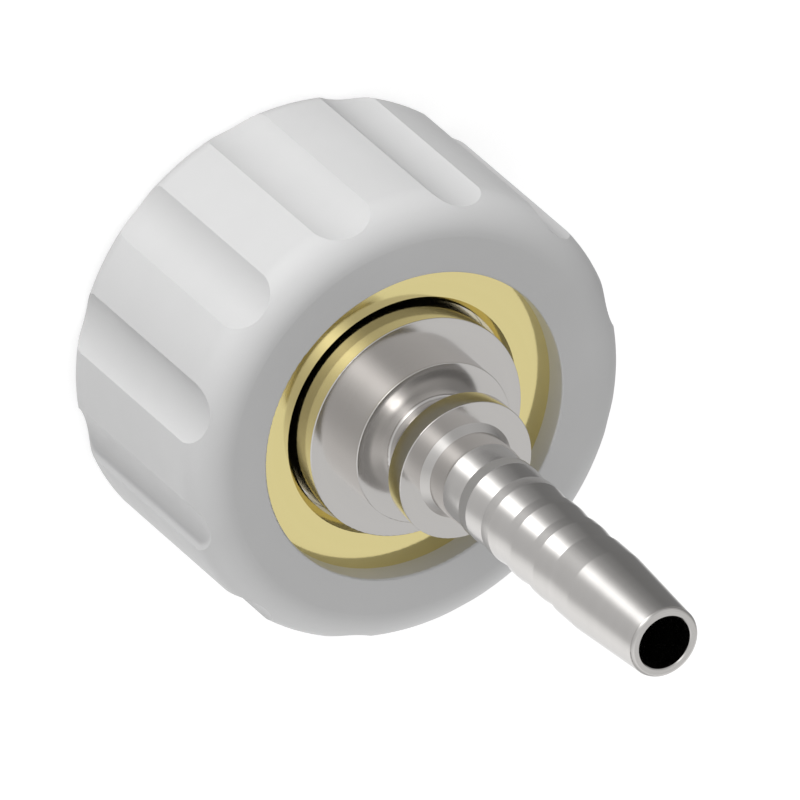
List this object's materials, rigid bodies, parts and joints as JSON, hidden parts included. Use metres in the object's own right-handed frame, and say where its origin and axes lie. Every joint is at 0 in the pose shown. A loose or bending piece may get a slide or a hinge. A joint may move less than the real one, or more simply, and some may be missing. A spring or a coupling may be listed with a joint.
{
  "type": "hose nipple",
  "caption": "Barbed steel hose nipple held by a flange in a spinning fluted hand nut of grey plastic with a brass threaded insert and a flat gasket.",
  "frame": {"origin": "middle of the hand nut's rear face, where the mating spout goes in", "axes": "+Z along the common axis of nut and nipple, towards the tip of the hose tail; a flute lies on +X"},
  "size_m": [0.0376, 0.0376, 0.0593],
  "materials": {
    "grey_plastic": "satin",
    "brass": "turned",
    "stainless_steel": "turned and polished",
    "gasket_rubber": "matte"
  },
  "bodies": {
    "nipple": {"hose_nipple": "stainless_steel", "flat_gasket": "gasket_rubber"},
    "nut": {"hand_nut": "grey_plastic", "threaded_insert": "brass"}
  },
  "joints": [
    {"name": "nut_spin", "type": "hinge", "parent": "nipple", "child": "nut", "pos_m": [0, 0, 0.0163], "axis": [0, 0, 1], "continuous": true}
  ]
}
